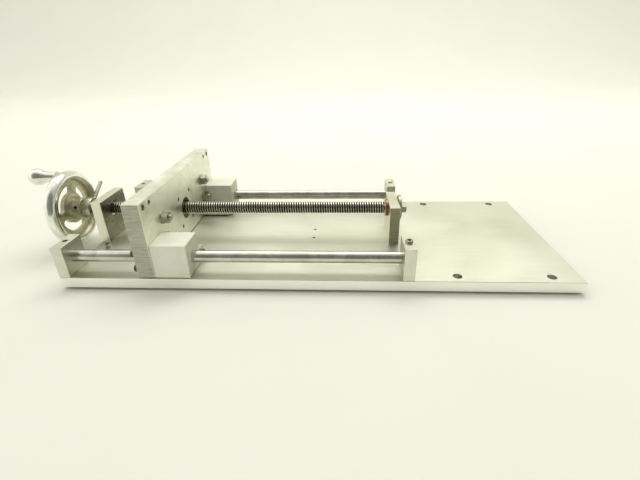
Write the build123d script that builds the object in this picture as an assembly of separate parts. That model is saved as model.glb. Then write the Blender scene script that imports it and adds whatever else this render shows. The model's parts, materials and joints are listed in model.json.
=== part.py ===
from build123d import *
import math
import os

# Ball screw slide: a carriage plate driven along two round guide rods by a hand-turned ball screw.
# X runs along the screw towards the free end of the base, Y across it, Z up.
# The origin is the centre of the base's four mounting holes, on the base's top face.

os.makedirs("parts", exist_ok=True)

# ---------------------------------------------------------------- driving dimensions (mm)
# base plate
BASE_LENGTH = 584.2
BASE_WIDTH = 239.0
BASE_THICK = 12.7
MOUNT_PITCH_X = 101.6
MOUNT_PITCH_Y = 215.9
MOUNT_HOLE_R = 5.15
MOUNT_TO_END = 32.0
SPARE_HOLE_X = 285.0
SPARE_HOLE_PITCH = 25.4
SPARE_HOLE_R = 2.0
EDGE_BREAK = 0.4

# the handwheel end of the base, from which the stations below are counted
END = MOUNT_TO_END + MOUNT_PITCH_X / 2 - BASE_LENGTH

# guide rods and their blocks
ROD_R = 7.15
ROD_Y = 100.7
ROD_Z = 19.05
BLOCK_THICK = 12.7
BLOCK_DEPTH = 37.0
BLOCK_HEIGHT = 38.1
FAR_BLOCK_X = 389.2
BLOCK_SCREW_OFFSET = 9.3
SET_SCREW_R = 3.0

# screw and its supports
AXIS_Z = 38.1
SUPPORT_THICK = 12.7
SUPPORT_WIDTH = 60.0
NEAR_SUPPORT_HEIGHT = 56.4
FAR_SUPPORT_HEIGHT = 49.2
FAR_SUPPORT_X = 382.2
SUPPORT_SCREW_Y = 20.0
LEAD = 3.175
SCREW_R = 7.94
GROOVE_R = 1.03
BALL_CIRCLE_R = 8.15
THREAD_START = 7.0
THREAD_END = 377.4
THREAD_STRETCHES = 12
JOURNAL_R = 5.0
TAIL_R = 4.76
TAIL_END = 395.2

# ball bearing in the near support
BEARING_OUTER_R = 11.0
BEARING_WIDTH = 6.0
BEARING_PITCH_R = 8.0
BEARING_BALL_R = 1.6
BEARING_GROOVE_R = 1.65
BEARING_BALLS = 10
BEARING_START = 0.35
BEARING_END = BEARING_START + BEARING_WIDTH
BEARING_X = BEARING_START + BEARING_WIDTH / 2
BEARING_SHOULDER_R = 6.4

# bronze bush in the far support
BUSH_R = 8.0
BUSH_FLANGE_R = 11.2
BUSH_FLANGE = 3.3
BUSH_CLEARANCE = 0.04

# far end retaining disc and bolt
DISC_R = 16.5
DISC_THICK = 3.5
END_BOLT_R = 3.0
END_BOLT_DEPTH = 15.0
END_HEAD_FLATS = 13.0
END_HEAD_HEIGHT = 6.0
END_WASHER = 1.2

# carriage
PLATE_X = 93.0
PLATE_THICK = 19.05
PLATE_WIDTH = 238.2
PLATE_BOTTOM = 1.0
PLATE_TOP = 89.2
PLATE_BORE_R = 14.3
TOOL_HOLE_Z = 83.0
OUTER_TOOL_HOLE_Y = 110.3
OUTER_TOOL_HOLE_R = 3.5
INNER_TOOL_HOLE_Y = 94.9
INNER_TOOL_HOLE_R = 2.75
SLIDE_LENGTH = 40.6
SLIDE_INNER_Y = 82.1
SLIDE_OUTER_Y = 118.4
SLIDE_BOTTOM = 0.6
SLIDE_TOP = 40.9
ROD_CLEARANCE = 0.06
BAR_LENGTH = 38.0
BAR_INNER_Y = 60.5
BAR_OUTER_Y = 82.0
BAR_BOTTOM = 0.9
BAR_TOP = 14.0
CROSS_BOLT_Y = 71.0
CROSS_BOLT_Z = (28.0, 54.4)
CROSS_BOLT_R = 4.0

# ball nut
NUT_BODY_R = 14.2
NUT_BORE_R = 8.48
NUT_START = 54.0
NUT_END = 104.0
FLANGE_THICK = 5.8
FLANGE_SIDE = 50.0
FLANGE_HOLE = 19.0
FLANGE_SCREW_R = 2.5
BALL_TRACK_START = 62.0
BALL_TURNS = 2.5
WIPER_WIDTH = 2.5
WIPER_CLEARANCE = 0.56
TUBE_R = 1.7

# handwheel, with its rim's middle plane at WHEEL_X
WHEEL_X = -46.0
WHEEL_R = 50.0
RIM_HALF_RADIAL = 6.3
RIM_HALF_AXIAL = 7.5
WEB_NEAR = -44.6
WEB_FAR = -50.2
WINDOW_OUTER_R = 31.5
WINDOW_INNER_R = 20.5
SPOKES = 3
WHEEL_TURN = 21.0
SPOKE_WIDTH = 10.0
HUB_R = 14.0
HUB_END = -28.4
HUB_FACE = -53.0
HUB_ROOT_R = 19.0
WHEEL_SET_SCREW_X = -34.0
WHEEL_SET_SCREW_ANGLE = 158.0

# crank grip on the rim
GRIP_Z = AXIS_Z + WHEEL_R - RIM_HALF_RADIAL
GRIP_NECK = -54.4
GRIP_BALL_X = -81.5
GRIP_BALL_R = 11.2
GRIP_NECK_R = 6.0
PIN_R = 3.0
PIN_END = -82.0
PIN_CLEARANCE = 0.05
CLIP_X = -76.0
CLIP_WIRE_R = 0.5

# lock collar, its lever and the spacer behind it
COLLAR_START = -27.5
COLLAR_END = -15.3
COLLAR_R = 14.0
SPACER_R = 8.0
LEVER_R = 2.5
LEVER_LENGTH = 40.0
LEVER_GAP = 0.5
LEVER_ANGLE = 33.0

# stop screws in the base beside the near support
STOP_X = 16.6
STOP_Y = 44.0

CAP_HEIGHT = 5.0


# ---------------------------------------------------------------- small helpers
def box(x0, x1, y0, y1, z0, z1):
    """A block between two corners, with x counted from the handwheel end."""
    middle = Pos(END + (x0 + x1) / 2, (y0 + y1) / 2, (z0 + z1) / 2)
    return middle * Box(x1 - x0, y1 - y0, z1 - z0)


def bar(radius, x0, x1, y, z):
    """A round bar along X."""
    return Pos(END + (x0 + x1) / 2, y, z) * Rot(0, 90, 0) * Cylinder(radius, x1 - x0)


def post(radius, z0, z1, x, y):
    """A round bar along Z."""
    return Pos(END + x, y, (z0 + z1) / 2) * Cylinder(radius, z1 - z0)


def hexagon_x(flats, x0, x1, y, z):
    """A hexagonal prism along X."""
    outline = RegularPolygon(flats / 2, 6, major_radius=False)
    return Pos(END + x0, y, z) * Rot(0, 90, 0) * extrude(outline, x1 - x0)


def hexagon_z(flats, z0, z1, x, y):
    """A hexagonal prism along Z."""
    outline = RegularPolygon(flats / 2, 6, major_radius=False)
    return Pos(END + x, y, z0) * extrude(outline, z1 - z0)


def turned(points, z=AXIS_Z, y=0.0):
    """A solid of revolution about an axis along X; points are (station, radius)."""
    outline = Polyline(*[(x, r, 0) for x, r in points], close=True)
    profile = make_face(outline)
    return Pos(END, y, z) * revolve(profile, Axis.X, 360)


def break_edges(solid, size=EDGE_BREAK):
    """The same block with its outer straight edges lightly chamfered."""
    edges = [e for e in solid.edges() if e.geom_type == GeomType.LINE]
    return chamfer(edges, size)


def save(name, *solids):
    """One STEP file for a node made of one or more separate solids."""
    shape = solids[0] if len(solids) == 1 else Compound(children=list(solids))
    export_step(shape, f"parts/{name}.step")


# ---------------------------------------------------------------- base, blocks and rods
def block_screw_places():
    """Where the screws from below enter the rod blocks: (station, y)."""
    stations = (BLOCK_THICK / 2, FAR_BLOCK_X + BLOCK_THICK / 2)
    offsets = (-BLOCK_SCREW_OFFSET, BLOCK_SCREW_OFFSET)
    return [(x, side * (ROD_Y + d)) for x in stations for side in (1, -1) for d in offsets]


def support_screw_places():
    """Where the screws from below enter the screw supports: (station, y)."""
    stations = (SUPPORT_THICK / 2, FAR_SUPPORT_X + SUPPORT_THICK / 2)
    return [(x, side * SUPPORT_SCREW_Y) for x in stations for side in (1, -1)]


def stop_screw_places():
    return [(STOP_X, side * STOP_Y) for side in (1, -1)]


def base_plate():
    half = BASE_WIDTH / 2
    plate = break_edges(box(0, BASE_LENGTH, -half, half, -BASE_THICK, 0))
    for sx in (-1, 1):
        for sy in (-1, 1):
            place = Pos(sx * MOUNT_PITCH_X / 2, sy * MOUNT_PITCH_Y / 2, -BASE_THICK / 2)
            plate -= place * Cylinder(MOUNT_HOLE_R, BASE_THICK * 1.2)
    for side in (1, -1):
        plate -= post(SPARE_HOLE_R, -BASE_THICK - 1, 1, SPARE_HOLE_X, side * SPARE_HOLE_PITCH / 2)
    for x, y in block_screw_places() + support_screw_places():
        plate -= post(2.5, -BASE_THICK - 1, 1, x, y)
    for x, y in stop_screw_places():
        plate -= post(2.5, -10, 1, x, y)
    return plate


def rod_block(start, side):
    """A rod block; its outer face is in line with the base's long edge."""
    outer = BASE_WIDTH / 2
    inner = outer - BLOCK_DEPTH
    y0, y1 = sorted((side * inner, side * outer))
    block = break_edges(box(start, start + BLOCK_THICK, y0, y1, 0, BLOCK_HEIGHT))
    middle = start + BLOCK_THICK / 2
    block -= bar(ROD_R, start - 1, start + BLOCK_THICK + 1, side * ROD_Y, ROD_Z)
    block -= post(SET_SCREW_R, ROD_Z, BLOCK_HEIGHT + 1, middle, side * ROD_Y)
    for d in (-BLOCK_SCREW_OFFSET, BLOCK_SCREW_OFFSET):
        block -= post(2.5, -1, 12, middle, side * (ROD_Y + d))
    return block


def guide_rod(side):
    ends = (0.6, FAR_BLOCK_X + BLOCK_THICK - 0.6)
    rod = bar(ROD_R, ends[0], ends[1], side * ROD_Y, ROD_Z)
    return chamfer(rod.edges().filter_by(GeomType.CIRCLE), 0.6)


def set_screw(x, y):
    """A socket set screw sunk in the top of a rod block, bearing on the rod."""
    screw = post(SET_SCREW_R, ROD_Z + ROD_R, BLOCK_HEIGHT - 3.5, x, y)
    return screw - hexagon_z(3.0, BLOCK_HEIGHT - 6.5, BLOCK_HEIGHT, x, y)


def clamp_screw(x, y):
    """The one rod clamp screw with a head, which stands on the block's top."""
    screw = post(SET_SCREW_R, ROD_Z + ROD_R, BLOCK_HEIGHT, x, y)
    head = post(4.3, BLOCK_HEIGHT, BLOCK_HEIGHT + 3.0, x, y)
    head = chamfer(head.edges().group_by(Axis.Z)[-1], 0.5)
    return screw + head - hexagon_z(4.0, BLOCK_HEIGHT + 0.4, BLOCK_HEIGHT + 4, x, y)


def rod_set_screws():
    near = BLOCK_THICK / 2
    far = FAR_BLOCK_X + BLOCK_THICK / 2
    return [set_screw(near, -ROD_Y), set_screw(near, ROD_Y), set_screw(far, ROD_Y)]


def button_screw(x, y, length):
    """A button-head screw entering from below; its head stands under the base."""
    head = post(4.75, -BASE_THICK - 2.8, -BASE_THICK, x, y)
    head = fillet(head.edges().group_by(Axis.Z)[0], 1.6)
    head -= hexagon_z(3.0, -BASE_THICK - 3, -BASE_THICK - 1.2, x, y)
    return head + post(2.5, -BASE_THICK, length - BASE_THICK, x, y)


def cap_screw_down(x, y, length):
    """A socket cap screw standing on the base with its shank downwards."""
    head = post(4.25, 0, CAP_HEIGHT, x, y)
    head = chamfer(head.edges().group_by(Axis.Z)[-1], 0.5)
    head -= hexagon_z(4.0, CAP_HEIGHT - 2.5, CAP_HEIGHT + 1, x, y)
    return head + post(2.5, -length, 0, x, y)


def cap_screw_x(x, y, z, shank_r, shank, head_r, head, socket):
    """A socket cap screw along X: shank > 0 points to +X, with the head on the other side."""
    way = 1 if shank > 0 else -1
    x0, x1 = sorted((x, x - way * head))
    body = bar(head_r, x0, x1, y, z)
    outer = body.edges().group_by(Axis.X)[0 if way > 0 else -1]
    body = chamfer(outer, 0.5)
    s0, s1 = sorted((x - way * head * 0.5, x - way * (head + 1)))
    body -= hexagon_x(socket, s0, s1, y, z)
    t0, t1 = sorted((x, x + shank))
    return body + bar(shank_r, t0, t1, y, z)


# ---------------------------------------------------------------- supports and bearings
def support(start, height, bore_r):
    """A plain rectangular screw support standing on the base."""
    half = SUPPORT_WIDTH / 2
    plate = break_edges(box(start, start + SUPPORT_THICK, -half, half, 0, height))
    plate -= bar(bore_r, start - 1, start + SUPPORT_THICK + 1, 0, AXIS_Z)
    for side in (1, -1):
        plate -= post(2.5, -1, 13, start + SUPPORT_THICK / 2, side * SUPPORT_SCREW_Y)
    return plate


def race_groove():
    """The ring-shaped groove that the bearing's balls run in."""
    return Pos(END + BEARING_X, 0, AXIS_Z) * Rot(0, 90, 0) * Torus(BEARING_PITCH_R, BEARING_GROOVE_R)


def bearing_ring(inner_r, outer_r):
    ring = turned([
        (BEARING_START, inner_r),
        (BEARING_END, inner_r),
        (BEARING_END, outer_r),
        (BEARING_START, outer_r),
    ])
    return ring - race_groove()


def bearing_ball_places():
    step = 2 * math.pi / BEARING_BALLS
    angles = [i * step for i in range(BEARING_BALLS)]
    return [
        Pos(END + BEARING_X, BEARING_PITCH_R * math.cos(a), AXIS_Z + BEARING_PITCH_R * math.sin(a))
        for a in angles
    ]


def bearing_cage():
    """A ribbon cage with a pocket for each ball."""
    near = BEARING_X - 1.9
    far = BEARING_X + 1.9
    ring = turned([(near, 7.6), (far, 7.6), (far, 8.4), (near, 8.4)])
    for place in bearing_ball_places():
        ring -= place * Sphere(BEARING_BALL_R + 0.06)
    return ring


def bronze_bush():
    face = FAR_SUPPORT_X
    bore = TAIL_R + BUSH_CLEARANCE
    return turned([
        (face - BUSH_FLANGE, bore),
        (face - BUSH_FLANGE, BUSH_FLANGE_R - 0.5),
        (face - BUSH_FLANGE + 0.5, BUSH_FLANGE_R),
        (face, BUSH_FLANGE_R),
        (face, BUSH_R),
        (face + SUPPORT_THICK - 0.3, BUSH_R),
        (face + SUPPORT_THICK - 0.3, bore),
    ])


# ---------------------------------------------------------------- the ball screw itself
def groove_profile(side):
    """Points across the ball groove as (angle, radius); side -1 cuts the screw, +1 the nut."""
    edge_r = SCREW_R if side < 0 else NUT_BORE_R
    reach = math.acos(abs(edge_r - BALL_CIRCLE_R) / GROOVE_R)
    steps = 12
    points = []
    for i in range(steps + 1):
        swing = reach * (2 * i / steps - 1)
        along = GROOVE_R * math.sin(swing)
        points.append((2 * math.pi * along / LEAD, BALL_CIRCLE_R + side * GROOVE_R * math.cos(swing)))
    return points


def threaded_core(side, start, end):
    """A right-hand helical body along X whose section is a circle with one ball groove."""
    rim_r = SCREW_R if side < 0 else NUT_BORE_R
    phase = 2 * math.pi * start / LEAD
    points = [(a + phase, r) for a, r in groove_profile(side)]
    spots = [Vector(r * math.cos(a), r * math.sin(a), 0) for a, r in points]
    land_angle = (points[0][0] + points[-1][0]) / 2 + math.pi
    land = Vector(rim_r * math.cos(land_angle), rim_r * math.sin(land_angle), 0)
    outline = Wire([Spline(*spots), ThreePointArc(spots[-1], land, spots[0])])
    length = end - start
    body = Solid.extrude_linear_with_rotation(
        Face(outline), (0, 0, 0), (0, 0, length), 360 * length / LEAD
    )
    return Pos(END + start, 0, AXIS_Z) * Rot(0, 90, 0) * body


def ball_screw():
    stretch = (THREAD_END - THREAD_START) / THREAD_STRETCHES
    starts = [THREAD_START + i * stretch for i in range(THREAD_STRETCHES)]
    shaft = Part() + [threaded_core(-1, x, x + stretch) for x in starts]
    near = turned([
        (HUB_FACE - 0.5, 0),
        (HUB_FACE - 0.5, JOURNAL_R - 0.6),
        (HUB_FACE + 0.1, JOURNAL_R),
        (BEARING_END, JOURNAL_R),
        (BEARING_END, BEARING_SHOULDER_R),
        (THREAD_START, BEARING_SHOULDER_R),
        (THREAD_START, 0),
    ])
    tail = turned([
        (THREAD_END, 0),
        (THREAD_END, TAIL_R),
        (TAIL_END, TAIL_R),
        (TAIL_END, END_BOLT_R),
        (TAIL_END - END_BOLT_DEPTH, END_BOLT_R),
        (TAIL_END - END_BOLT_DEPTH, 0),
    ])
    return near + shaft + tail


def end_disc():
    return turned([
        (TAIL_END, END_BOLT_R),
        (TAIL_END, DISC_R),
        (TAIL_END + DISC_THICK - 0.6, DISC_R),
        (TAIL_END + DISC_THICK, DISC_R - 0.6),
        (TAIL_END + DISC_THICK, END_BOLT_R),
    ])


def end_washer():
    start = TAIL_END + DISC_THICK
    return turned([
        (start, END_BOLT_R), (start, 6.6), (start + END_WASHER, 6.6), (start + END_WASHER, END_BOLT_R),
    ])


def end_bolt():
    start = TAIL_END + DISC_THICK + END_WASHER
    end = start + END_HEAD_HEIGHT
    head = hexagon_x(END_HEAD_FLATS, start, end, 0, AXIS_Z)
    crown = turned([(start, 0), (start, 7.6), (start + 5.2, 7.6), (end, 6.2), (end, 0)])
    return (head & crown) + bar(END_BOLT_R, TAIL_END - END_BOLT_DEPTH + 1, start, 0, AXIS_Z)


# ---------------------------------------------------------------- ball nut
def ball_nut():
    """Flanged nut: body behind the plate, square flange on it, nose through the plate's bore."""
    flange_start = PLATE_X - FLANGE_THICK
    half = FLANGE_SIDE / 2
    body = bar(NUT_BODY_R, NUT_START, NUT_END, 0, AXIS_Z)
    flange = box(flange_start, PLATE_X, -half, half, AXIS_Z - half, AXIS_Z + half)
    flange = fillet(flange.edges().filter_by(Axis.X), 5.0)
    nut = body + flange
    nut -= threaded_core(1, BALL_TRACK_START - 4, BALL_TRACK_START + 12)
    nut -= bar(NUT_BORE_R, NUT_START - 1, BALL_TRACK_START - 3.9, 0, AXIS_Z)
    nut -= bar(NUT_BORE_R, BALL_TRACK_START + 11.9, NUT_END + 1, 0, AXIS_Z)
    for end in (NUT_START, NUT_END - WIPER_WIDTH):
        nut -= bar(11.0, end - 0.01, end + WIPER_WIDTH + 0.01, 0, AXIS_Z)
    for y in (-FLANGE_HOLE, FLANGE_HOLE):
        for z in (-FLANGE_HOLE, FLANGE_HOLE):
            nut -= bar(FLANGE_SCREW_R, flange_start - 1, PLATE_X + 1, y, AXIS_Z + z)
    for x in return_tube_stations():
        nut -= post(TUBE_R, AXIS_Z + NUT_BORE_R + 1.4, AXIS_Z + NUT_BODY_R + 1, x, 0)
    return nut


def return_tube_stations():
    return (BALL_TRACK_START, BALL_TRACK_START + BALL_TURNS * LEAD + LEAD / 2)


def return_tube():
    """The tube that carries the balls from the end of their track back to its start."""
    first, last = return_tube_stations()
    foot = AXIS_Z + NUT_BORE_R + 1.5
    crest = AXIS_Z + NUT_BODY_R + 3.0
    bend = 3.0
    path = FilletPolyline(
        (END + first, 0, foot),
        (END + first, 0, crest),
        (END + last, 0, crest),
        (END + last, 0, foot),
        radius=bend,
    )
    section = Plane(origin=path @ 0, z_dir=path % 0) * Circle(TUBE_R)
    return sweep(section, path=path)


def tube_clamp():
    """The strap that holds the return tube on the nut."""
    first, last = return_tube_stations()
    middle = (first + last) / 2
    crest = AXIS_Z + NUT_BODY_R + 3.0 + TUBE_R
    strap = box(middle - 2, middle + 2, -9, 9, crest, crest + 1.2)
    legs = [box(middle - 2, middle + 2, y - 1.5, y + 1.5, AXIS_Z + 11.5, crest) for y in (-7.5, 7.5)]
    barrel = bar(NUT_BODY_R, middle - 3, middle + 3, 0, AXIS_Z)
    return strap + (legs[0] - barrel) + (legs[1] - barrel)


def wiper(start):
    """A plastic ring that keeps dirt out of the nut; it runs clear of the screw."""
    end = start + WIPER_WIDTH
    inner = SCREW_R + WIPER_CLEARANCE
    return turned([(start, inner), (start, 11.0), (end, 11.0), (end, inner)])


def nut_screws():
    places = [(y, z) for y in (-FLANGE_HOLE, FLANGE_HOLE) for z in (-FLANGE_HOLE, FLANGE_HOLE)]
    start = PLATE_X - FLANGE_THICK
    return [cap_screw_x(start, y, AXIS_Z + z, FLANGE_SCREW_R, 20.0, 4.25, 5.0, 4.0) for y, z in places]


# ---------------------------------------------------------------- carriage
def slide_screw_places(side):
    return [(side * (ROD_Y + dy), ROD_Z + dz) for dy in (-11.5, 11.5) for dz in (-9.3, 9.3)]


def carriage_plate():
    half = PLATE_WIDTH / 2
    end = PLATE_X + PLATE_THICK
    plate = break_edges(box(PLATE_X, end, -half, half, PLATE_BOTTOM, PLATE_TOP))

    def drill(radius, y, z):
        return bar(radius, PLATE_X - 1, end + 1, y, z)

    plate -= drill(PLATE_BORE_R, 0, AXIS_Z)
    for side in (1, -1):
        plate -= drill(ROD_R + 0.6, side * ROD_Y, ROD_Z)
        plate -= drill(OUTER_TOOL_HOLE_R, side * OUTER_TOOL_HOLE_Y, TOOL_HOLE_Z)
        plate -= drill(INNER_TOOL_HOLE_R, side * INNER_TOOL_HOLE_Y, TOOL_HOLE_Z)
        for z in CROSS_BOLT_Z:
            plate -= drill(CROSS_BOLT_R, side * CROSS_BOLT_Y, z)
        for y, z in slide_screw_places(side):
            plate -= drill(2.5, y, z)
        plate -= drill(3.0, side * bar_middle_y(), bar_middle_z())
    for y in (-FLANGE_HOLE, FLANGE_HOLE):
        for z in (-FLANGE_HOLE, FLANGE_HOLE):
            plate -= drill(FLANGE_SCREW_R, y, AXIS_Z + z)
    return plate


def slide_block(side):
    """A white plastic slide block, bored to run on its guide rod."""
    start = PLATE_X + PLATE_THICK
    end = start + SLIDE_LENGTH
    y0, y1 = sorted((side * SLIDE_INNER_Y, side * SLIDE_OUTER_Y))
    block = box(start, end, y0, y1, SLIDE_BOTTOM, SLIDE_TOP)
    block = fillet(block.edges(), 1.0)
    block -= bar(ROD_R + ROD_CLEARANCE, start - 1, end + 1, side * ROD_Y, ROD_Z)
    for y, z in slide_screw_places(side):
        block -= bar(2.5, start - 1, start + 20, y, z)
    return block


def slide_block_screws():
    places = [spot for side in (1, -1) for spot in slide_screw_places(side)]
    return [cap_screw_x(PLATE_X, y, z, 2.5, 36.0, 4.25, 5.0, 4.0) for y, z in places]


def bar_middle_y():
    return (BAR_INNER_Y + BAR_OUTER_Y) / 2


def bar_middle_z():
    return (BAR_BOTTOM + BAR_TOP) / 2


def side_bar(side):
    """The low bar beside a slide block, bolted to the plate through its length."""
    start = PLATE_X + PLATE_THICK
    end = start + BAR_LENGTH
    y0, y1 = sorted((side * BAR_INNER_Y, side * BAR_OUTER_Y))
    solid = break_edges(box(start, end, y0, y1, BAR_BOTTOM, BAR_TOP))
    return solid - bar(3.0, start - 1, end + 1, side * bar_middle_y(), bar_middle_z())


def side_bar_screw(side):
    end = PLATE_X + PLATE_THICK + BAR_LENGTH
    return cap_screw_x(end, side * bar_middle_y(), bar_middle_z(), 3.0, -52.0, 5.0, 5.0, 5.0)


def cross_bolt_places():
    return [(side * CROSS_BOLT_Y, z) for side in (1, -1) for z in CROSS_BOLT_Z]


def cross_bolt(y, z):
    """A hexagon bolt through the plate; its thread end stands out of the nut."""
    head = hexagon_x(13.0, PLATE_X - 5.3, PLATE_X, y, z)
    return head + bar(CROSS_BOLT_R, PLATE_X, PLATE_X + PLATE_THICK + 10.5, y, z)


def cross_washer(y, z):
    start = PLATE_X + PLATE_THICK
    return bar(7.6, start, start + 1.4, y, z) - bar(CROSS_BOLT_R, start - 1, start + 3, y, z)


def cross_nut(y, z):
    start = PLATE_X + PLATE_THICK + 1.4
    end = start + 6.5
    prism = hexagon_x(13.0, start, end, y, z)
    crown = turned([(start, 0), (start, 7.6), (end - 0.8, 7.6), (end, 6.6), (end, 0)], z, y)
    return (prism & crown) - bar(CROSS_BOLT_R, start - 1, end + 1, y, z)


# ---------------------------------------------------------------- handwheel, grip and lock
def web_window(angle):
    """One kidney-shaped opening between two spokes, centred on angle."""
    depth = WEB_NEAR - WEB_FAR + 30
    ring = Circle(WINDOW_OUTER_R) - Circle(WINDOW_INNER_R)
    reach = WINDOW_OUTER_R * 3
    step = math.radians(180 / SPOKES)
    edge = SPOKE_WIDTH / 2 / math.sin(step)
    wedge = make_face(Polyline(
        (edge, 0),
        (edge + reach * math.cos(step), reach * math.sin(step)),
        (edge + reach * math.cos(step), -reach * math.sin(step)),
        close=True,
    ))
    kidney = ring & wedge
    kidney = fillet(kidney.vertices(), 4.0)
    return Rot(0, 0, angle) * extrude(kidney, depth)


def handwheel():
    """Dished three-spoke wheel with an oval rim and a long hub."""
    rim_r = WHEEL_R - RIM_HALF_RADIAL
    oval = Pos(WHEEL_X, rim_r, 0) * Ellipse(RIM_HALF_AXIAL, RIM_HALF_RADIAL)
    rim = Pos(END, 0, AXIS_Z) * revolve(oval, Axis.X, 360)
    disc = turned([
        (HUB_END, JOURNAL_R),
        (HUB_END, HUB_R - 0.8),
        (HUB_END - 0.8, HUB_R),
        (WEB_NEAR + 5.5, HUB_R),
        (WEB_NEAR + 1.5, HUB_R + 1.6),
        (WEB_NEAR, HUB_ROOT_R),
        (WEB_NEAR, 40.5),
        (WEB_FAR, 40.5),
        (WEB_FAR, HUB_R + 2),
        (HUB_FACE, HUB_R - 1),
        (HUB_FACE, JOURNAL_R),
    ])
    wheel = rim + disc
    for i in range(SPOKES):
        angle = 360 / SPOKES * i - WHEEL_TURN
        window = Pos(END + WEB_FAR - 15, 0, AXIS_Z) * Rot(0, 90, 0) * web_window(angle)
        wheel -= window
    wheel -= Pos(END, 0, GRIP_Z) * bar_local(PIN_R, WHEEL_X - RIM_HALF_AXIAL - 1, WHEEL_X)
    wheel -= radial_rod(2.5, WHEEL_SET_SCREW_X, WHEEL_SET_SCREW_ANGLE, 0, HUB_R + 2)
    wheel -= bar(JOURNAL_R, HUB_FACE - 2, HUB_END + 2, 0, AXIS_Z)
    return wheel


def bar_local(radius, x0, x1):
    """A round bar along X on its own axis, without the shift to the handwheel end."""
    return Pos((x0 + x1) / 2, 0, 0) * Rot(0, 90, 0) * Cylinder(radius, x1 - x0)


def radial_rod(radius, x, angle, r0, r1):
    """A round rod square to the screw axis; angle is from +Y towards +Z."""
    rod = Pos(0, (r0 + r1) / 2, 0) * Rot(90, 0, 0) * Cylinder(radius, r1 - r0)
    return Pos(END + x, 0, AXIS_Z) * Rot(angle, 0, 0) * rod


def wheel_set_screw():
    screw = radial_rod(2.5, WHEEL_SET_SCREW_X, WHEEL_SET_SCREW_ANGLE, JOURNAL_R, HUB_R - 1.5)
    socket = radial_rod(1.3, WHEEL_SET_SCREW_X, WHEEL_SET_SCREW_ANGLE, HUB_R - 4, HUB_R)
    return screw - socket


def crank_grip():
    """Pear-shaped revolving grip, turned about its own pin."""
    neck = GRIP_NECK
    shoulder = neck - 3.0
    rise = 6.0
    tangent_x = GRIP_BALL_X + rise
    tangent_r = math.sqrt(GRIP_BALL_R**2 - rise**2)
    crown = math.radians(20)
    tip = GRIP_BALL_X - GRIP_BALL_R
    outline = Wire([
        Line((neck, 0), (neck, GRIP_NECK_R + 0.8)),
        Line((neck, GRIP_NECK_R + 0.8), (shoulder + 0.6, GRIP_NECK_R + 0.8)),
        Line((shoulder + 0.6, GRIP_NECK_R + 0.8), (shoulder, GRIP_NECK_R)),
        Spline(
            (shoulder, GRIP_NECK_R),
            (tangent_x, tangent_r),
            tangents=[(-1, 0.12), (-tangent_r, rise)],
        ),
        ThreePointArc(
            (tangent_x, tangent_r),
            (GRIP_BALL_X - GRIP_BALL_R * math.sin(crown), GRIP_BALL_R * math.cos(crown)),
            (tip, 0),
        ),
        Line((tip, 0), (neck, 0)),
    ])
    grip = Pos(END, 0, GRIP_Z) * revolve(Face(outline), Axis.X, 360)
    bore = bar(PIN_R + PIN_CLEARANCE, PIN_END - 0.6, neck + 1, 0, GRIP_Z)
    groove = bar(PIN_R + 0.9, CLIP_X - 0.8, CLIP_X + 0.8, 0, GRIP_Z)
    return grip - bore - groove


def grip_pin():
    """The pin screwed into the rim, on which the grip turns."""
    pin = bar(PIN_R, PIN_END, WHEEL_X, 0, GRIP_Z)
    groove = Pos(END + CLIP_X, 0, GRIP_Z) * Rot(0, 90, 0) * Torus(PIN_R, CLIP_WIRE_R)
    return pin - groove


def grip_clip():
    """Spring ring in the pin's groove that keeps the grip on."""
    ring = Pos(END + CLIP_X, 0, GRIP_Z) * Rot(0, 90, 0) * Torus(PIN_R, CLIP_WIRE_R)
    return ring


def lock_collar():
    ring = turned([
        (COLLAR_START, JOURNAL_R),
        (COLLAR_START, COLLAR_R - 0.6),
        (COLLAR_START + 0.6, COLLAR_R),
        (COLLAR_END - 0.6, COLLAR_R),
        (COLLAR_END, COLLAR_R - 0.6),
        (COLLAR_END, JOURNAL_R),
    ])
    middle = (COLLAR_START + COLLAR_END) / 2
    return ring - radial_rod(LEVER_R + 0.05, middle, LEVER_ANGLE, 0, COLLAR_R + 2)


def lock_lever():
    """A plain round lever, shown slacked off so that its inner end is just clear of the journal."""
    middle = (COLLAR_START + COLLAR_END) / 2
    lever = radial_rod(LEVER_R, middle, LEVER_ANGLE, JOURNAL_R + LEVER_GAP, JOURNAL_R + LEVER_LENGTH)
    return chamfer(lever.edges().filter_by(GeomType.CIRCLE), 0.4)


def spacer_sleeve():
    return turned([
        (COLLAR_END, JOURNAL_R),
        (COLLAR_END, SPACER_R),
        (BEARING_START, SPACER_R - 1.4),
        (BEARING_START, JOURNAL_R),
    ])


# ---------------------------------------------------------------- the parts, one file each
save("base_plate", base_plate())
for end_name, station in (("near", 0.0), ("far", FAR_BLOCK_X)):
    for side_name, side in (("front", -1), ("rear", 1)):
        save(f"rod_block_{end_name}_{side_name}", rod_block(station, side))
save("rod_set_screws", *rod_set_screws())
save("rod_clamp_screw", clamp_screw(FAR_BLOCK_X + BLOCK_THICK / 2, -ROD_Y))
save("block_screws", *[button_screw(x, y, 22.0) for x, y in block_screw_places()])
save("support_screws", *[button_screw(x, y, 24.0) for x, y in support_screw_places()])
save("stop_screws", *[cap_screw_down(x, y, 9.0) for x, y in stop_screw_places()])
save("near_screw_support", support(0, NEAR_SUPPORT_HEIGHT, BEARING_OUTER_R))
save("far_screw_support", support(FAR_SUPPORT_X, FAR_SUPPORT_HEIGHT, BUSH_R))
save("bearing_outer_ring", bearing_ring(9.3, BEARING_OUTER_R))
save("bearing_inner_ring", bearing_ring(JOURNAL_R, 6.7))
save("bearing_cage", bearing_cage())
save("bearing_balls", *[place * Sphere(BEARING_BALL_R) for place in bearing_ball_places()])
save("bronze_bush", bronze_bush())
save("ball_screw", ball_screw())
save("end_disc", end_disc())
save("end_washer", end_washer())
save("end_bolt", end_bolt())
save("handwheel", handwheel())
save("wheel_set_screw", wheel_set_screw())
save("crank_grip", crank_grip())
save("grip_pin", grip_pin())
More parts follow.
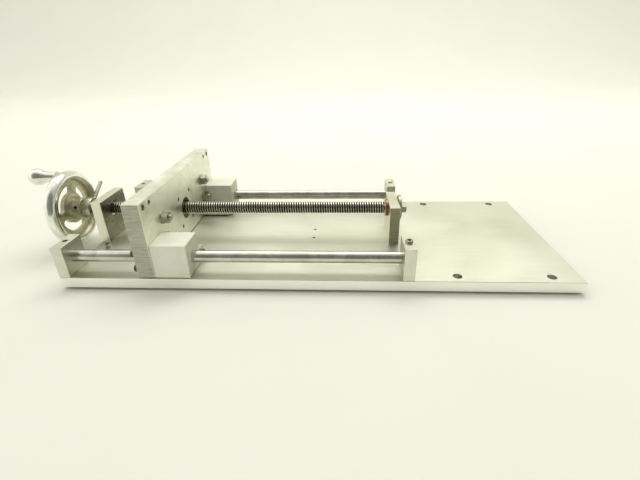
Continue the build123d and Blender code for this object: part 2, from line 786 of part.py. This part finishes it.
save("grip_clip", grip_clip())
save("lock_collar", lock_collar())
save("lock_lever", lock_lever())
save("spacer_sleeve", spacer_sleeve())
save("ball_nut", ball_nut())
save("return_tube", return_tube())
save("tube_clamp", tube_clamp())
save("nut_wipers", wiper(NUT_START), wiper(NUT_END - WIPER_WIDTH))
save("nut_screws", *nut_screws())
save("carriage_plate", carriage_plate())
for side_name, side in (("front", -1), ("rear", 1)):
    save(f"guide_rod_{side_name}", guide_rod(side))
    save(f"slide_block_{side_name}", slide_block(side))
    save(f"side_bar_{side_name}", side_bar(side))
save("slide_block_screws", *slide_block_screws())
save("side_bar_screws", side_bar_screw(1), side_bar_screw(-1))
save("cross_bolts", *[cross_bolt(y, z) for y, z in cross_bolt_places()])
save("cross_washers", *[cross_washer(y, z) for y, z in cross_bolt_places()])
save("cross_nuts", *[cross_nut(y, z) for y, z in cross_bolt_places()])
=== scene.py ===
import json
import math

import bmesh
import bpy
from mathutils import Matrix, Vector


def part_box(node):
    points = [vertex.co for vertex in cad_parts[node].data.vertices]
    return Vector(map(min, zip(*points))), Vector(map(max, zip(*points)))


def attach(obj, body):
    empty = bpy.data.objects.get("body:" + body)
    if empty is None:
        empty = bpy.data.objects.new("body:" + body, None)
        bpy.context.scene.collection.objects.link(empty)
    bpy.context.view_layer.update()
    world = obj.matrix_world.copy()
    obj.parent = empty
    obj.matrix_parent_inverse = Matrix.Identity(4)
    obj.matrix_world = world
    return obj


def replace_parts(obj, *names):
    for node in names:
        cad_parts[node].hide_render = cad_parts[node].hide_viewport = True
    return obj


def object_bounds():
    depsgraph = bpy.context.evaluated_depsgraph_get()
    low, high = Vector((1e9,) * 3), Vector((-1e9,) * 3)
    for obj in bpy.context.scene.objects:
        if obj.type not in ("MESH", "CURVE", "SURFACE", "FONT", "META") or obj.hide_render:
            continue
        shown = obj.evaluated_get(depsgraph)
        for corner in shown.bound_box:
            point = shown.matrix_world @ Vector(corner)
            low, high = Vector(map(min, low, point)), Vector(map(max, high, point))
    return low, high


# The looks of a ball screw slide: a cross plate on two guide rods, driven by a hand-turned screw.
# Everything is in metres in the CAD frame: X along the screw, Y across the base, Z up.

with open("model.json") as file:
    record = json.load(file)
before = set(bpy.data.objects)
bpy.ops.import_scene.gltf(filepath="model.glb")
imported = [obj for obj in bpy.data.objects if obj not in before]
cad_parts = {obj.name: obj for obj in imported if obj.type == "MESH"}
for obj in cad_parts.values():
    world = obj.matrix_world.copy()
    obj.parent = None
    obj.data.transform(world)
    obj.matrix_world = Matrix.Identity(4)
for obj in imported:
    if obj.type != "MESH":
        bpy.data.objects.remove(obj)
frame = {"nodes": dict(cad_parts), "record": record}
CAD_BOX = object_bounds()
NODES = frame["nodes"]
MM = 0.001


# ---------------------------------------------------------------- small helpers
def linear(red, green, blue):
    """A colour given as screen values from 0 to 255, in linear light."""

    def channel(value):
        value /= 255
        return value / 12.92 if value <= 0.04045 else ((value + 0.055) / 1.055) ** 2.4

    return (channel(red), channel(green), channel(blue), 1.0)


def map_range(tree, value, low, high, out_low, out_high):
    """A node that maps low..high to out_low..out_high, clamped."""
    made = tree.nodes.new("ShaderNodeMapRange")
    tree.links.new(value, made.inputs["Value"])
    numbers = {"From Min": low, "From Max": high, "To Min": out_low, "To Max": out_high}
    for key, number in numbers.items():
        made.inputs[key].default_value = number
    return made


class Graph:
    """A procedural material, built on Principled with coordinates fixed to the object."""

    def __init__(self, name, metallic=1.0):
        self.material = bpy.data.materials.new(name)
        self.material.use_nodes = True
        self.tree = self.material.node_tree
        self.shader = self.tree.nodes["Principled BSDF"]
        self.shader.inputs["Metallic"].default_value = metallic
        self.place = self.node("ShaderNodeTexCoord").outputs["Object"]

    def node(self, kind, **settings):
        made = self.tree.nodes.new(kind)
        for key, value in settings.items():
            setattr(made, key, value)
        return made

    def feed(self, socket, value):
        """Links a socket, or sets a plain value."""
        if isinstance(value, bpy.types.NodeSocket):
            self.tree.links.new(value, socket)
        else:
            socket.default_value = value

    def noise(self, scale, detail=3.0, distortion=0.0):
        """Noise from 0 to 1; scale is per metre along X, Y and Z."""
        mapping = self.node("ShaderNodeMapping")
        self.feed(mapping.inputs["Vector"], self.place)
        mapping.inputs["Scale"].default_value = scale
        texture = self.node("ShaderNodeTexNoise")
        self.feed(texture.inputs["Vector"], mapping.outputs["Vector"])
        texture.inputs["Scale"].default_value = 1.0
        texture.inputs["Detail"].default_value = detail
        texture.inputs["Distortion"].default_value = distortion
        return texture.outputs["Fac"]

    def stretch(self, value, low, high, out_low=0.0, out_high=1.0):
        return map_range(self.tree, value, low, high, out_low, out_high).outputs["Result"]

    def math(self, operation, first, second):
        made = self.node("ShaderNodeMath", operation=operation)
        self.feed(made.inputs[0], first)
        self.feed(made.inputs[1], second)
        return made.outputs[0]

    def blend(self, amount, first, second):
        """A colour between two colours."""
        made = self.node("ShaderNodeMix", data_type="RGBA")
        self.feed(made.inputs["Factor"], amount)
        self.feed(made.inputs[6], first)
        self.feed(made.inputs[7], second)
        return made.outputs[2]

    def edges(self, radius):
        """1 near sharp outer and inner edges, 0 on open faces."""
        bevel = self.node("ShaderNodeBevel", samples=4)
        bevel.inputs["Radius"].default_value = radius
        flat = self.node("ShaderNodeNewGeometry").outputs["Normal"]
        product = self.node("ShaderNodeVectorMath", operation="DOT_PRODUCT")
        self.feed(product.inputs[0], bevel.outputs["Normal"])
        self.feed(product.inputs[1], flat)
        return self.stretch(product.outputs["Value"], 0.995, 0.80)

    def facing(self, axis):
        """1 on faces square to an axis, 0 elsewhere."""
        split = self.node("ShaderNodeSeparateXYZ")
        self.feed(split.inputs[0], self.node("ShaderNodeNewGeometry").outputs["Normal"])
        size = self.node("ShaderNodeMath", operation="ABSOLUTE")
        self.feed(size.inputs[0], split.outputs["XYZ".index(axis)])
        return self.stretch(size.outputs[0], 0.85, 0.95)

    def axis_distance(self, node):
        """How far a point lies from the middle line of a node turned about X, and the node's radius."""
        low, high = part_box(node)
        split = self.node("ShaderNodeSeparateXYZ")
        self.feed(split.inputs[0], self.place)
        lift = self.math("SUBTRACT", split.outputs["Z"], (low.z + high.z) / 2)
        across = self.math("POWER", split.outputs["Y"], 2.0)
        squares = self.math("ADD", across, self.math("POWER", lift, 2.0))
        return self.math("POWER", squares, 0.5), (high.z - low.z) / 2

    def paint_faces(self, colour, painted_faces):
        """Paints flat faces lighter or darker by the way they face, as painted light and shade; each entry
        is (axis, amount, stroke contrast, painted colour).
        """
        # painted light and shade: faces square to the axis are blended towards a lighter or darker colour
        for axis, amount, contrast, painted_colour in painted_faces:
            noise = self.noise((60, 60, 700), detail=3.0)
            low, high = amount * (1 - contrast), amount * (1 + contrast)
            strokes = self.stretch(noise, 0.3, 0.7, low, high)
            colour = self.blend(self.math("MULTIPLY", self.facing(axis), strokes), colour, painted_colour)
        return colour

    def finish(self, colour, roughness, height=None, depth=0.0001, strength=0.4):
        self.feed(self.shader.inputs["Base Color"], colour)
        self.feed(self.shader.inputs["Roughness"], roughness)
        if height is not None:
            bump = self.node("ShaderNodeBump")
            bump.inputs["Distance"].default_value = depth
            bump.inputs["Strength"].default_value = strength
            self.feed(bump.inputs["Height"], height)
            self.feed(self.shader.inputs["Normal"], bump.outputs["Normal"])
        return self.material


# ---------------------------------------------------------------- materials
def milled_metal(name, dark, light, rough, grain, patches=35.0, patchiness=0.5, edge_highlight=0.0, painted_faces=()):
    """Machined metal: fine cutter lines, cloudy patches, thin scratches, painted highlights on the edges
    and painted light and shade on listed faces.

    The last argument lists the faces given painted light and shade, as in the Graph method that paints
    them.
    cuts are the faces that are finished differently, as in Graph.paint_faces.
    """
    graph = Graph(name)
    lines = graph.noise(grain, detail=4.0)
    clouds = graph.noise((patches, patches, patches), detail=5.0, distortion=0.6)
    specks = graph.noise((900, 900, 900), detail=2.0)
    cloudy = graph.stretch(clouds, 0.32, 0.68, 0, patchiness)
    tone = graph.math("ADD", cloudy, graph.stretch(lines, 0.3, 0.7, 0, 1 - patchiness))
    colour = graph.blend(tone, dark, light)
    scratch = graph.stretch(graph.noise((160, 38, 60), detail=6.0, distortion=1.5), 0.70, 0.76)
    colour = graph.blend(graph.math("MULTIPLY", scratch, 0.35), colour, light)
    colour = graph.blend(graph.math("MULTIPLY", graph.stretch(specks, 0.66, 0.74), 0.35), colour, dark)
    cloudy_rough = graph.stretch(clouds, 0.3, 0.7, rough - 0.06, rough + 0.06)
    roughness = graph.math("ADD", cloudy_rough, graph.stretch(lines, 0.3, 0.7, -0.04, 0.04))
    colour = graph.paint_faces(colour, painted_faces)
    if edge_highlight:
        # painted highlight: sharp edges are blended towards near-white
        edge = graph.edges(0.5 * MM)
        colour = graph.blend(graph.math("MULTIPLY", edge, edge_highlight), colour, (0.95, 0.95, 0.92, 1.0))
        roughness = graph.math("SUBTRACT", roughness, graph.math("MULTIPLY", edge, 0.1))
    return graph.finish(colour, roughness, lines, 0.00006, 0.5)


def turned_metal(name, dark, light, rough, rings=2500.0, depth=0.00004):
    """Round metal with fine rings about X, soft stains and specks."""
    graph = Graph(name)
    turning = graph.noise((rings, 12, 12), detail=3.0)
    stains = graph.noise((60, 60, 60), detail=5.0, distortion=0.8)
    specks = graph.stretch(graph.noise((700, 700, 700), detail=2.0), 0.64, 0.72)
    stained = graph.stretch(stains, 0.35, 0.65, 0, 0.65)
    tone = graph.math("ADD", stained, graph.stretch(turning, 0.3, 0.7, 0, 0.35))
    colour = graph.blend(tone, dark, light)
    colour = graph.blend(graph.math("MULTIPLY", specks, 0.3), colour, dark)
    roughness = graph.stretch(stains, 0.3, 0.7, rough - 0.05, rough + 0.07)
    return graph.finish(colour, roughness, turning, depth, 0.4)


POLISHED_RIM = 9.0 * MM
POLISH_FADE = 2.0 * MM


def wheel_metal(name):
    """Cast aluminium: polished on the rim, sand-cast and dull on the web and hub."""
    graph = Graph(name)
    radius, wheel_radius = graph.axis_distance("handwheel")
    polish_start = wheel_radius - POLISHED_RIM
    polish = graph.stretch(radius, polish_start, polish_start + POLISH_FADE)
    sand = graph.noise((1300, 1300, 1300), detail=4.0)
    clouds = graph.noise((70, 70, 70), detail=5.0, distortion=0.8)
    cast = graph.blend(graph.stretch(clouds, 0.35, 0.65), linear(172, 166, 136), linear(208, 204, 180))
    grains = graph.math("MULTIPLY", graph.stretch(sand, 0.6, 0.72), 0.5)
    cast = graph.blend(grains, cast, linear(120, 114, 88))
    bright = graph.blend(graph.stretch(clouds, 0.35, 0.65), linear(226, 226, 214), linear(246, 246, 238))
    colour = graph.blend(polish, cast, bright)
    shine = graph.stretch(clouds, 0.3, 0.7, 0.10, 0.20)
    dull = graph.stretch(clouds, 0.3, 0.7, 0.36, 0.50)
    unpolished = graph.math("SUBTRACT", 1.0, polish)
    polished_rough = graph.math("MULTIPLY", polish, shine)
    roughness = graph.math("ADD", polished_rough, graph.math("MULTIPLY", unpolished, dull))
    height = graph.math("MULTIPLY", sand, graph.stretch(polish, 0, 1, 1.0, 0.04))
    return graph.finish(colour, roughness, height, 0.0003, 0.5)


def thread_metal(name):
    """Rolled steel thread: bright steel, with the groove darkened as painted shade."""
    graph = Graph(name)
    radius, land = graph.axis_distance("ball_screw")
    # painted shade: the thread groove is darkened where shade falls
    groove = graph.stretch(radius, land - 0.12 * MM, land - 0.45 * MM)
    threaded = graph.stretch(radius, land - 2.2 * MM, land - 1.8 * MM)
    groove_shade = graph.math("MULTIPLY", groove, threaded)
    stains = graph.noise((45, 60, 60), detail=5.0, distortion=0.8)
    bright = graph.blend(graph.stretch(stains, 0.35, 0.65), linear(196, 191, 174), linear(228, 225, 212))
    colour = graph.blend(groove_shade, bright, linear(52, 45, 32))
    stained_rough = graph.stretch(stains, 0.3, 0.7, 0.14, 0.24)
    roughness = graph.math("ADD", stained_rough, graph.math("MULTIPLY", groove_shade, 0.25))
    return graph.finish(colour, roughness, stains, 0.00004, 0.3)


def plastic(name, dark, light, rough, patches=45.0, painted_faces=()):
    """Cut plastic: soft, a little translucent, with faint saw marks, dirt and painted shade on listed
    faces.
    """
    graph = Graph(name, metallic=0.0)
    saw = graph.noise((900, 60, 60), detail=3.0)
    clouds = graph.noise((patches, patches, patches), detail=4.0, distortion=0.5)
    dirt = graph.stretch(graph.noise((160, 160, 160), detail=6.0, distortion=1.0), 0.62, 0.80)
    colour = graph.blend(graph.stretch(clouds, 0.35, 0.65), dark, light)
    colour = graph.blend(graph.math("MULTIPLY", dirt, 0.22), colour, linear(150, 145, 118))
    colour = graph.paint_faces(colour, painted_faces)
    roughness = graph.stretch(clouds, 0.3, 0.7, rough - 0.06, rough + 0.08)
    graph.shader.inputs["Subsurface Weight"].default_value = 0.15
    graph.shader.inputs["Subsurface Radius"].default_value = (0.003, 0.003, 0.0024)
    graph.shader.inputs["Subsurface Scale"].default_value = 0.5
    return graph.finish(colour, roughness, graph.math("ADD", saw, clouds), 0.00012, 0.35)


def floor_paper(name):
    """Pale matt paper, very slightly uneven."""
    graph = Graph(name, metallic=0.0)
    clouds = graph.noise((5, 5, 5), detail=3.0)
    colour = graph.blend(clouds, linear(241, 242, 232), linear(246, 247, 238))
    graph.shader.inputs["Specular IOR Level"].default_value = 0.2
    return graph.finish(colour, 0.75)


# frequencies of cutter lines per metre, for lines that run along each axis
ALONG_X = (14, 1500, 1500)
ALONG_Y = (1500, 14, 1500)
ALONG_Z = (1500, 1500, 14)

LOOKS = {
    "base_aluminium": milled_metal(
        "milled_base", linear(211, 213, 196), linear(235, 236, 223), 0.42, ALONG_X, 9.0, 0.45, 0.5,
        # painted light: the Y faces, the front and back edges, are brightened
        painted_faces=[("Y", 0.9, 0.1, (1.0, 1.0, 0.93, 1.0))],
    ),
    "plate_aluminium": milled_metal(
        "mottled_plate", linear(216, 218, 202), linear(248, 250, 236), 0.42, (40, 40, 1600), 50.0, 0.6, 0.5,
        # painted shade: the Y faces, the front and back edges, are darkened
        painted_faces=[("Y", 0.55, 0.2, linear(96, 98, 78))],
    ),
    "block_aluminium": milled_metal(
        "sawn_block_painted_shade", linear(206, 206, 188), linear(234, 234, 220), 0.38, ALONG_Y, 60.0, 0.5, 0.6,
        # painted shade: the X faces are darkened
        painted_faces=[("X", 0.28, 0.15, linear(84, 82, 62))],
    ),
    "support_aluminium": milled_metal(
        "ground_support", linear(212, 210, 190), linear(240, 238, 222), 0.30, ALONG_Z, 40.0, 0.5, 0.6,
        # painted dark reflection: the X faces are darkened
        painted_faces=[("X", 0.75, 0.1, linear(78, 74, 54))],
    ),
    "dark_steel": turned_metal("black_screw", linear(74, 70, 60), linear(122, 118, 104), 0.38),
    "bearing_steel": turned_metal("bearing", linear(176, 176, 168), linear(208, 208, 200), 0.15),
    "bronze": turned_metal("bronze_bush", linear(120, 96, 60), linear(176, 144, 96), 0.30),
    "rod_steel": turned_metal(
        "ground_rod", linear(188, 186, 174), linear(222, 221, 210), 0.17, 4000.0, 0.00001
    ),
    "screw_steel": thread_metal("rolled_thread"),
    "zinc_steel": turned_metal("zinc", linear(140, 136, 120), linear(200, 197, 182), 0.30),
    "wheel_aluminium": wheel_metal("cast_wheel"),
    "grip_aluminium": turned_metal(
        "polished_grip", linear(224, 224, 212), linear(246, 246, 238), 0.13, 1500.0, 0.00001
    ),
    "collar_steel": turned_metal("turned_collar", linear(190, 186, 164), linear(232, 229, 212), 0.26),
    "nut_steel": turned_metal("oiled_nut", linear(82, 78, 68), linear(136, 132, 118), 0.30),
    "wiper_plastic": plastic("wiper", linear(28, 28, 27), linear(46, 46, 44), 0.5),
    "white_plastic": plastic("cream_plastic", linear(242, 243, 220), linear(251, 252, 238), 0.40,
        # painted shade: the X side faces are darkened
        painted_faces=[("X", 0.5, 0.1, linear(150, 146, 112))],
    ),
}


def dress(obj, material):
    obj.data.materials.clear()
    obj.data.materials.append(material)


for entry in frame["record"]["subparts"]:
    dress(NODES[entry["node"]], LOOKS[entry["material_slot"]])
# the far support gets painted shade on its Y faces, where the near one gets a painted dark reflection on
# its X faces
dress(NODES["far_screw_support"], milled_metal(
    "sawn_support_painted_shade", linear(212, 210, 190), linear(240, 238, 222), 0.34, ALONG_Z, 40.0, 0.5, 0.6,
    # painted shade: the Y faces are darkened
    painted_faces=[("Y", 0.7, 0.15, linear(128, 124, 92))],
))


# ---------------------------------------------------------------- detailed pieces
def separate_boxes(node):
    """The (low, high) corners of each loose solid in a CAD node, ordered by place."""
    mesh = bmesh.new()
    mesh.from_mesh(NODES[node].data)
    bmesh.ops.remove_doubles(mesh, verts=mesh.verts, dist=0.002 * MM)
    waiting = set(mesh.verts)
    boxes = []
    while waiting:
        front = [waiting.pop()]
        corners = []
        while front:
            vertex = front.pop()
            corners.append(vertex.co.copy())
            near = [edge.other_vert(vertex) for edge in vertex.link_edges]
            fresh = [painted_colour for painted_colour in near if painted_colour in waiting]
            waiting.difference_update(fresh)
            front.extend(fresh)
        low = Vector(min(c[i] for c in corners) for i in range(3))
        high = Vector(max(c[i] for c in corners) for i in range(3))
        boxes.append((low, high))
    mesh.free()
    return sorted(boxes, key=lambda pair: tuple(round(v, 5) for v in pair[0]))


def lathe(name, profile, around, radius_at=None):
    """A closed surface about +X; profile is (x, radius), radius_at(x, r, angle) shapes it."""
    vertices = []
    for x, radius in profile:
        for i in range(around):
            angle = 2 * math.pi * i / around
            r = radius_at(x, radius, angle) if radius_at else radius
            vertices.append((x, r * math.cos(angle), r * math.sin(angle)))
    faces = []
    for ring in range(len(profile) - 1):
        for i in range(around):
            j = (i + 1) % around
            start, stop = ring * around, (ring + 1) * around
            faces.append((start + i, stop + i, stop + j, start + j))
    faces.append(tuple(range(around)))
    faces.append(tuple(reversed(range(len(vertices) - around, len(vertices)))))
    data = bpy.data.meshes.new(name)
    data.from_pydata(vertices, [], faces)
    made = bpy.data.objects.new(name, data)
    bpy.context.scene.collection.objects.link(made)
    return made


def place_on_x(obj, x, y, z, way, body, slot):
    """Puts a turned piece with its own +X along way * X, and lets it ride on a body."""
    turn = Matrix.Identity(4) if way > 0 else Matrix.Rotation(math.pi, 4, "Z")
    obj.data.transform(Matrix.Translation((x, y, z)) @ turn)
    obj.data.update()
    obj.data.shade_smooth()
    split = obj.modifiers.new("corner_split", "EDGE_SPLIT")
    split.split_angle = math.radians(32)
    dress(obj, LOOKS[slot])
    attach(obj, body)
    return obj


def hexagon_radius(flats, angle):
    """The radius of a hexagon with the given distance across flats."""
    sixth = math.pi / 3
    return flats / 2 / math.cos((angle % sixth) - sixth / 2)


def cross_bolt(name, low, high):
    """A hexagon bolt: chamfered head behind the plate, rolled thread standing out of the nut."""
    head = 5.3 * MM
    flats = 13.0 * MM
    shank = 4.0 * MM
    pitch = 1.25 * MM
    depth = 0.55 * MM
    length = high.x - low.x
    thread_start = length - 17.0 * MM
    steps = 10

    def shape(x, radius, angle):
        if x <= head + 1e-6 and radius > shank + 1e-6:
            return min(radius, hexagon_radius(flats, angle))
        if x <= thread_start or radius < shank - 0.3 * MM:
            return radius
        wave = (x / pitch - angle / (2 * math.pi)) % 1.0
        return radius - depth * abs(2 * wave - 1)

    profile = [(0, 5.6 * MM), (0.5 * MM, 6.6 * MM), (0.9 * MM, 7.6 * MM), (head, 7.6 * MM), (head, shank)]
    profile += [(thread_start, shank)]
    turns = int((length - 0.7 * MM - thread_start) / pitch * steps)
    profile += [(thread_start + i * pitch / steps, shank) for i in range(1, turns + 1)]
    profile += [(length, 3.2 * MM)]
    bolt = lathe(name, profile, 48, shape)
    return place_on_x(bolt, low.x, (low.y + high.y) / 2, (low.z + high.z) / 2, 1, "carriage", "zinc_steel")


def cap_screw(name, low, high, head, way, body, head_r, shank_r):
    """A socket cap screw with a knurled head and a hexagon socket, lying along X."""
    length = high.x - low.x
    knurls = 30

    def shape(x, radius, angle):
        if radius > head_r - 0.1 * MM and 0.6 * MM < x < head - 0.5 * MM:
            return radius - 0.22 * MM * (0.5 + 0.5 * math.cos(knurls * angle))
        if radius < 2.4 * MM and x < 0.55 * head:
            return min(hexagon_radius(2 * radius * 0.9, angle), radius * 1.15)
        return radius

    socket = head_r * 0.5
    profile = [(0.5 * head, socket), (0.0, socket), (0.0, head_r - 0.5 * MM)]
    profile += [(0.5 * MM, head_r), (0.7 * MM, head_r), (head - 0.6 * MM, head_r)]
    profile += [(head - 0.4 * MM, head_r), (head, head_r - 0.2 * MM), (head, shank_r)]
    profile += [(length - 0.5 * MM, shank_r), (length, shank_r - 0.5 * MM)]
    screw = lathe(name, profile, 120, shape)
    start = low.x if way > 0 else high.x
    return place_on_x(screw, start, (low.y + high.y) / 2, (low.z + high.z) / 2, way, body, "dark_steel")


def numbered(node, build, *values):
    """One detailed piece for each solid of a node, standing in for the node."""
    for count, (low, high) in enumerate(separate_boxes(node), 1):
        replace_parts(build(f"{node}_{count}", low, high, *values), node)


CAP_HEAD = 5.0 * MM

numbered("cross_bolts", cross_bolt)
for screws in ("slide_block_screws", "nut_screws"):
    numbered(screws, cap_screw, CAP_HEAD, 1, "carriage", 4.25 * MM, 2.5 * MM)
numbered("side_bar_screws", cap_screw, CAP_HEAD, -1, "carriage", 5.0 * MM, 3.0 * MM)


# ---------------------------------------------------------------- stage, lights and camera
FLOOR_HALF_WIDTH = 4.0
FLOOR_FRONT = -3.5
BEND_START = 1.6
BEND_R = 0.8
BEND_STEPS = 12
BACKDROP_TOP = 3.0

# the room is dim towards DIM_SIDE, where the camera stands, and dimmer towards +X
DIM_SIDE = (0.10, -0.90, 0.42)
BRIGHT_ROOM = 1.12
DIM_ROOM = 0.24
DIM_RIGHT = 0.38

CAMERA_PLACE = (-0.1784, -0.4947, 0.2391)
CAMERA_YAW = -0.0624
CAMERA_PITCH = 0.4660
CAMERA_ROLL = -0.0238
CAMERA_LENS = 22.60


def floor_and_backdrop():
    """A pale sheet that lies flat under the object and curves up far behind it."""
    ground = CAD_BOX[0][2]
    outline = [(FLOOR_FRONT, ground), (BEND_START, ground)]
    for i in range(1, BEND_STEPS + 1):
        angle = math.pi / 2 * i / BEND_STEPS
        outline.append((BEND_START + BEND_R * math.sin(angle), ground + BEND_R * (1 - math.cos(angle))))
    outline.append((BEND_START + BEND_R, BACKDROP_TOP))
    vertices = [(side * FLOOR_HALF_WIDTH, y, z) for y, z in outline for side in (-1, 1)]
    faces = [(2 * i, 2 * i + 1, 2 * i + 3, 2 * i + 2) for i in range(len(outline) - 1)]
    data = bpy.data.meshes.new("paper_sweep")
    data.from_pydata(vertices, [], faces)
    data.shade_smooth()
    sheet = bpy.data.objects.new("paper_sweep", data)
    bpy.context.scene.collection.objects.link(sheet)
    dress(sheet, floor_paper("pale_paper"))


def soft_light(name, place, target, size, power, colour):
    data = bpy.data.lights.new(name, "AREA")
    data.shape = "RECTANGLE"
    data.size, data.size_y = size
    data.energy = power
    data.color = colour
    light = bpy.data.objects.new(name, data)
    light.location = place
    light.rotation_euler = (Vector(target) - Vector(place)).to_track_quat("-Z", "Y").to_euler()
    bpy.context.scene.collection.objects.link(light)


def room_light():
    """Pale surroundings, with a dim room on the side that the camera stands."""
    world = bpy.data.worlds.new("room")
    bpy.context.scene.world = world
    world.use_nodes = True
    tree = world.node_tree
    background = tree.nodes["Background"]
    place = tree.nodes.new("ShaderNodeTexCoord")
    toward = tree.nodes.new("ShaderNodeVectorMath")
    toward.operation = "DOT_PRODUCT"
    toward.inputs[1].default_value = DIM_SIDE
    tree.links.new(place.outputs["Generated"], toward.inputs[0])
    strength = map_range(tree, toward.outputs["Value"], 0.45, 0.88, BRIGHT_ROOM, DIM_ROOM)
    strength.interpolation_type = "SMOOTHSTEP"
    split = tree.nodes.new("ShaderNodeSeparateXYZ")
    tree.links.new(place.outputs["Generated"], split.inputs[0])
    right = map_range(tree, split.outputs["X"], 0.1, 0.9, 1.0, DIM_RIGHT)
    total = tree.nodes.new("ShaderNodeMath")
    total.operation = "MULTIPLY"
    tree.links.new(strength.outputs["Result"], total.inputs[0])
    tree.links.new(right.outputs["Result"], total.inputs[1])
    background.inputs["Color"].default_value = (1.0, 1.0, 0.93, 1.0)
    tree.links.new(total.outputs[0], background.inputs["Strength"])


def camera():
    """The photograph's viewpoint, above and in front of the base, turned a little left."""
    level = math.cos(CAMERA_PITCH)
    ahead = Vector((math.sin(CAMERA_YAW) * level, math.cos(CAMERA_YAW) * level, -math.sin(CAMERA_PITCH)))
    right = Vector((math.cos(CAMERA_YAW), -math.sin(CAMERA_YAW), 0))
    up = right.cross(ahead)
    tilted_right = math.cos(CAMERA_ROLL) * right + math.sin(CAMERA_ROLL) * up
    tilted_up = math.cos(CAMERA_ROLL) * up - math.sin(CAMERA_ROLL) * right
    data = bpy.data.cameras.new("view")
    data.sensor_width = 36.0
    data.lens = CAMERA_LENS
    data.clip_start = 0.01
    made = bpy.data.objects.new("view", data)
    turn = Matrix((tilted_right, tilted_up, -ahead)).transposed()
    made.matrix_world = Matrix.Translation(CAMERA_PLACE) @ turn.to_4x4()
    bpy.context.scene.collection.objects.link(made)
    bpy.context.scene.camera = made


floor_and_backdrop()
soft_light("ceiling", (0.0, 1.0, 2.0), (0, 0, 0), (2.2, 1.2), 19, (1.0, 0.99, 0.93))
soft_light("backdrop_wash", (-0.5, 0.9, 1.8), (-0.5, 2.4, 0.5), (7.0, 0.5), 24, (1.0, 1.0, 0.95))
room_light()
camera()
bpy.context.scene.view_settings.view_transform = "Standard"
